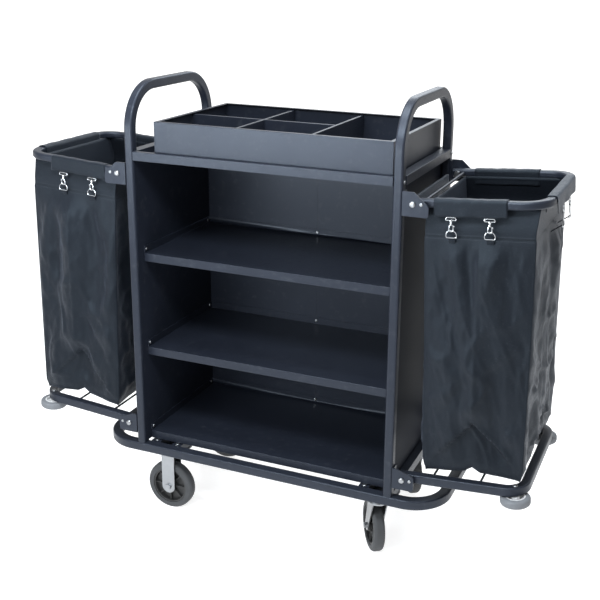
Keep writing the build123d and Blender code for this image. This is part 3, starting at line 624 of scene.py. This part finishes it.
# Soft folds that run from the hooks and across the wall: where each starts and ends, as
# shares across and up the wall, its width, and how far it stands out in metres.
hook_folds = (
    ((-0.42, 0.88), (-0.92, 0.62), 0.16, 0.0070),
    ((-0.36, 0.88), (-0.10, 0.55), 0.12, 0.0055),
    ((0.42, 0.88), (0.10, 0.66), 0.13, 0.0060),
    ((0.46, 0.88), (0.95, 0.58), 0.15, 0.0075),
    ((0.80, 0.52), (0.15, 0.42), 0.10, 0.0050),
    ((-0.90, 0.47), (-0.15, 0.38), 0.09, 0.0055),
    ((-0.85, 0.30), (-0.30, 0.36), 0.08, 0.0050),
    ((-0.70, 0.22), (-0.05, 0.40), 0.09, -0.0045),
)


def bag_folds(across, height, wall, seed):
    """How far a wall stands in (negative) or out at a share across and a height from 0 to 1."""
    drift = noise.noise(Vector((across * 1.4 + seed, height * 1.6, wall * 3.1)))
    drape = noise.noise(Vector((across * 3.0 + height * 1.6, height * 2.2 + seed, wall * 5.7)))
    pucker = noise.noise(Vector((across * 8.0, height * 24.0, seed + wall * 2.0)))
    edge_pucker = step_between(abs(across), 0.50, 0.95)
    bend = 0.12 * noise.noise(Vector((height * 7.0, across * 3.0, seed)))
    crease = crumple(across * 1.5 + seed, height * 5.5 + bend, wall * 4.3)
    slant = crumple(across * 1.9 + height * 3.4 + seed, height * 2.0, wall * 7.9)
    fine = noise.noise(Vector((across * 12.0, height * 34.0, seed * 2 + wall)))
    low = 1 - step_between(height, 0.40, 0.85)
    out = drift * 0.014 + drape * 0.017 + fine * 0.0020
    out += pucker * 0.0036 * edge_pucker * (0.35 + low)
    out += crease ** 2 * 0.0065 * (0.25 + 0.75 * low)
    out += slant ** 3 * 0.0022
    for start, end, width, tall in hook_folds:
        out += tall * fold_line(across, height, start, end, width, 1.0)

    # The bottom is tucked in below a crease that climbs from both corners to an apex.
    apex = 0.215 if wall < 3 else 0.17
    rise = apex - (apex - 0.02) * abs(across)
    above = step_between(height, apex - 0.03, apex + 0.07)
    crown = max(0.0, 1 - abs(across - 0.02) / 0.50)
    out += above * crown ** 1.2 * (0.026 if wall < 3 else 0.010)
    below = step_between(rise - height, -0.002, 0.020)
    out -= 0.017 * below * (1 - abs(across) * 0.7)
    ridge = max(0.0, 1 - abs(rise - height) / 0.012)
    out += ridge * 0.0045 * (1 - step_between(abs(across), 0.85, 1.0))
    return out


def cloth_piece(name, shape, side, thickness, replaced=()):
    """A sheet of cloth on a side's bag frame, thickened inwards."""
    piece = new_piece(name, shape, f"{side}_bag_holder", replaced,
                      cloth_material, smooth=None)
    piece.data.shade_smooth()
    wall = piece.modifiers.new("cloth_thickness", "SOLIDIFY")
    wall.thickness = thickness
    wall.offset = -1.0
    return piece


def linen_bag(side, seed):
    shape = bmesh.new()
    bmesh.ops.create_cube(shape, size=2.0)
    top = [face for face in shape.faces if face.normal.z > 0.5]
    bmesh.ops.delete(shape, geom=top, context="FACES_ONLY")
    bmesh.ops.subdivide_edges(shape, edges=shape.edges[:], cuts=wall_cuts,
                              use_grid_fill=True)
    for vert in shape.verts:
        share_x, share_y, share_z = vert.co
        height = (share_z + 1) / 2
        z = bag_bottom + (bag_top - bag_bottom) * height
        x0, x1, half = bag_levels(z)
        middle = (x0 + x1) / 2
        half_x = (x1 - x0) / 2
        on_floor = share_z < -0.999 and max(abs(share_x), abs(share_y)) < 0.999
        if on_floor:
            sag = (1 - share_x ** 2) * (1 - share_y ** 2)
            lift = 0.034 * (1 - share_x ** 2) * share_y ** 4
            lump = noise.noise(Vector((share_x * 2, share_y * 2, seed))) * 0.004
            vert.co = (middle + share_x * (half_x - 0.012), share_y * (half - 0.02),
                       z + 0.001 + lift + 0.012 * sag + lump)
            continue
        corner = 0.006 + 0.006 * (1 - height)
        x, y, away = rounded_to(share_x * half_x, share_y * half, half_x, half, corner)
        front = abs(share_y) > 0.999
        across = share_x if front else share_y
        wall = (1 if share_y > 0 else 2) if front else (3 if share_x > 0 else 4)
        hold = 1 - step_between(height, 0.80, 0.90)     # the hooks keep the top taut
        edge = 1 - abs(across) ** 8                     # the corner seams stay straight
        out = bag_folds(across, height, wall, seed) * hold * edge
        out *= 0.25 + 0.75 * step_between(height, 0.0, 0.10)
        out -= step_between(height, band_height - 0.002, band_height + 0.002) * 0.0020
        if min(abs(share_x), abs(share_y)) > 0.98:
            out += piping
        x += away.x * out
        y += away.y * out
        tuck = (1 - step_between(height, 0.0, 0.04)) * 0.007
        x -= away.x * tuck
        y -= away.y * tuck
        arch = 0.013 * (1 - abs(across)) + 0.011 * max(0.0, 1 - abs(across) / 0.16)
        z += arch * (1 - step_between(height, 0.0, 0.30))
        vert.co = (middle + x, y, z)
    bmesh.ops.recalc_face_normals(shape, faces=shape.faces)
    lay_uv(shape, wall_pattern)
    at_hinge(shape, side, frame_hinge_z)
    return cloth_piece(f"{side}_linen_bag", shape, side, 0.0012, (f"{side}_bag",))


bags = {"left": linen_bag("left", 3.7), "right": linen_bag("right", 11.2)}


# Flaps -----------------------------------------------------------------------------------
# The top of each wall runs on as a flap, folded outwards over the frame's tube and hemmed
# with a double row of stitching. The inner one goes over the thin cross rod.

def flap_pattern(normal, point):
    return (point.x, point.z - point.y)


def flap(length, inner_side, outer_side, over, drop, seed):
    """A strip along X folded over a bar along X; -Y is its outer side."""
    shape = bmesh.new()
    bmesh.ops.create_grid(shape, x_segments=40, y_segments=30, size=0.5)
    bend = 0.006
    tucked_in = 0.030
    up = over + tucked_in
    across = outer_side - inner_side
    down = over + drop
    total = up + across + down
    for vert in shape.verts:
        share = vert.co.x
        walked = (0.5 + vert.co.y) * total
        if walked < up:
            y, z = inner_side, over - up + walked
        elif walked < up + across:
            y, z = inner_side + (walked - up), over
        else:
            y, z = outer_side, over - (walked - up - across)
        rounding = 0.0
        for corner_at in (up, up + across):
            near = max(0.0, 1 - abs(walked - corner_at) / bend)
            rounding = max(rounding, near)
        middle = (inner_side + outer_side) / 2
        y += (middle - y) * rounding * 0.12
        z -= rounding * 0.0018
        hang = max(0.0, walked - up - across) / down
        wave = noise.noise(Vector((share * 5.0, seed, 0.0)))
        y += wave * 0.0035 * hang * hang
        z += noise.noise(Vector((share * 3.0, seed + 4.0, 1.0))) * 0.003 * hang
        z += 0.0012 * noise.noise(Vector((share * 8.0, seed + 9.0, walked * 30)))
        if hang > 0.62:
            y += 0.0007 * (1 - min(abs(hang - 0.70) / 0.06, 1.0))
        vert.co = (share * length, -y, z)
    bmesh.ops.recalc_face_normals(shape, faces=shape.faces)
    lay_uv(shape, flap_pattern)
    return shape


def hang_flaps(side):
    """Front, rear and outer-end flaps over the tube, and the inner flap over the rod."""
    seed = 2.0 if side == "left" else 7.0
    over_tube = 0.0118
    tube_drop = 0.0295
    tube_in, tube_out = 0.1885, 0.2148
    middle_of_run = 0.1405
    flaps = []
    for name, sign in (("front", 1), ("rear", -1)):
        shape = flap(0.181, tube_in, tube_out, over_tube, tube_drop, seed + sign)
        if sign < 0:
            bmesh.ops.scale(shape, verts=shape.verts, vec=(1, -1, 1))
            bmesh.ops.reverse_faces(shape, faces=shape.faces)
        bmesh.ops.translate(shape, verts=shape.verts, vec=(middle_of_run, 0, 0))
        flaps.append((name, shape))
    shape = flap(0.274, 0.3085, 0.3348, over_tube, tube_drop, seed + 5.0)
    bmesh.ops.rotate(shape, verts=shape.verts, matrix=Matrix.Rotation(pi / 2, 3, "Z"))
    flaps.append(("end", shape))
    shape = flap(0.298, -0.0228, -0.0131, over=0.0050, drop=0.0345, seed=seed + 6.0)
    bmesh.ops.rotate(shape, verts=shape.verts, matrix=Matrix.Rotation(pi / 2, 3, "Z"))
    flaps.append(("inner", shape))
    for name, shape in flaps:
        at_hinge(shape, side, frame_hinge_z)
        cloth_piece(f"{side}_bag_{name}_flap", shape, side, 0.0010)


for side in ("left", "right"):
    hang_flaps(side)


# Snap hooks ------------------------------------------------------------------------------
# Small die-cast swivel hooks, nickel plated: a flat loop sewn under the flap, a swivel
# barrel, and a hook with a thumb latch that catches a D ring sewn to the bag's wall.

def wire(points, radius, closed=False, sides=10):
    """A round wire bent through some points, as a bmesh."""
    curve = bpy.data.curves.new("wire", "CURVE")
    curve.dimensions = "3D"
    curve.bevel_depth = radius
    curve.bevel_resolution = sides // 4
    curve.use_fill_caps = True
    spline = curve.splines.new("POLY")
    spline.points.add(len(points) - 1)
    for spot, point in zip(spline.points, points):
        spot.co = (*point, 1)
    spline.use_cyclic_u = closed
    holder = bpy.data.objects.new("wire", curve)
    bpy.context.scene.collection.objects.link(holder)
    bpy.context.view_layer.update()
    mesh = bpy.data.meshes.new_from_object(holder)
    shape = bmesh.new()
    shape.from_mesh(mesh)
    bmesh.ops.remove_doubles(shape, verts=shape.verts, dist=1e-6)
    bmesh.ops.recalc_face_normals(shape, faces=shape.faces)
    bpy.data.objects.remove(holder)
    bpy.data.curves.remove(curve)
    bpy.data.meshes.remove(mesh)
    return shape


def arc(radius, start, end, steps, at=(0.0, 0.0)):
    """Points on an arc in the XZ plane, angles in degrees."""
    points = []
    for step in range(steps + 1):
        angle = radians(start + (end - start) * step / steps)
        points.append((at[0] + radius * cos(angle), 0.0, at[1] + radius * sin(angle)))
    return points


def snap_hook():
    """Hangs from the origin and faces along Y."""
    loop = ([(-0.0095, 0, -0.0018), (0.0095, 0, -0.0018)]
            + arc(0.0016, 60, -90, 4, (0.0100, -0.0064))
            + arc(0.0016, 270, 120, 4, (-0.0100, -0.0064)))
    shape = wire(loop, 0.0010, closed=True)
    barrel = turned([(0.0001, 0), (0.0030, 0), (0.0036, -0.0012), (0.0036, -0.0042),
                     (0.0028, -0.0054), (0.0024, -0.0078), (0.0030, -0.0090),
                     (0.0030, -0.0110), (0.0001, -0.0116)], 20)
    bmesh.ops.translate(barrel, verts=barrel.verts, vec=(0, 0, -0.0070))
    add_to(shape, barrel)
    claw = ([(0.0, 0, -0.0180), (-0.0030, 0, -0.0200)]
            + arc(0.0048, 170, 380, 12, (0.0, -0.0290))
            + [(0.0046, 0, -0.0240)])
    add_to(shape, wire(claw, 0.0011))
    latch = wire([(0.0010, 0, -0.0185), (0.0040, 0, -0.0205), (0.0046, 0, -0.0250)], 0.0009)
    add_to(shape, latch)
    thumb = bmesh.new()
    bmesh.ops.create_cube(thumb, size=1.0)
    bmesh.ops.scale(thumb, verts=thumb.verts, vec=(0.0022, 0.0026, 0.0040))
    bmesh.ops.bevel(thumb, geom=thumb.edges[:], offset=0.0007, segments=2, profile=0.5,
                    affect="EDGES", material=-1)
    bmesh.ops.translate(thumb, verts=thumb.verts, vec=(0.0062, 0, -0.0215))
    add_to(shape, thumb)
    ring = ([(-0.0095, 0.0, -0.0480), (0.0095, 0.0, -0.0480)]
            + arc(0.0115, -20, 200, 14, (0.0, -0.0425)))
    add_to(shape, wire(ring, 0.0010, closed=True))
    bmesh.ops.scale(shape, verts=shape.verts, vec=(1.15, 1.0, 1.10))
    return shape


def tab_pattern(normal, point):
    return (point.x, point.z)


def webbing_tab(gap):
    """Short doubled strap from the D ring's bar to the bag's wall, gap behind the ring."""
    tab = bmesh.new()
    bmesh.ops.create_cube(tab, size=1.0)
    bmesh.ops.scale(tab, verts=tab.verts, vec=(0.0170, 0.0022, 0.0200))
    bmesh.ops.bevel(tab, geom=tab.edges[:], offset=0.0008, segments=2, profile=0.5,
                    affect="EDGES", material=-1)
    bmesh.ops.translate(tab, verts=tab.verts, vec=(0, 0, -0.0575))
    for vert in tab.verts:
        vert.co.y += gap * step_between(-vert.co.z, 0.049, 0.068)
    lay_uv(tab, tab_pattern)
    return tab


nickel = zinc_plate("bright_nickel", 0.62, 0.16)
hook_pitch = 0.096
hook_drop = -0.0300
long_side_middle = 0.1405
long_side_face = 0.2153
outer_face = 0.3353
inner_face = 0.0129


def hook_places():
    """Each hook's place and turn, level with the frame, and its gap to the bag's wall."""
    spots = []
    for step in (-hook_pitch / 2, hook_pitch / 2):
        along = long_side_middle + step
        spots.append((Vector((along, -long_side_face, hook_drop)), 0.0, 0.0065))
        spots.append((Vector((along, long_side_face, hook_drop)), pi, 0.0065))
        spots.append((Vector((outer_face, step, hook_drop)), pi / 2, 0.030))
        spots.append((Vector((inner_face, step, hook_drop)), -pi / 2, 0.005))
    return spots


for side in ("left", "right"):
    hooks = bmesh.new()
    tabs = bmesh.new()
    for place, turn, gap in hook_places():
        for group, made in ((hooks, snap_hook()), (tabs, webbing_tab(gap))):
            bmesh.ops.rotate(made, verts=made.verts, matrix=Matrix.Rotation(turn, 3, "Z"))
            bmesh.ops.translate(made, verts=made.verts, vec=place)
            add_to(group, made)
    at_hinge(hooks, side, frame_hinge_z)
    at_hinge(tabs, side, frame_hinge_z)
    new_piece(f"{side}_snap_hooks", hooks, f"{side}_bag_holder",
              (f"{side}_bag_hooks",), nickel)
    new_piece(f"{side}_webbing_tabs", tabs, f"{side}_bag_holder", (),
              cloth_material)


# Bags' own meshes -------------------------------------------------------------------------
# When a frame is folded up the empty bag is gathered flat against it. Here each bag's cloth
# is only given a mesh of its own.

for side, sign in (("left", -1), ("right", 1)):
    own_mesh(bags[side])
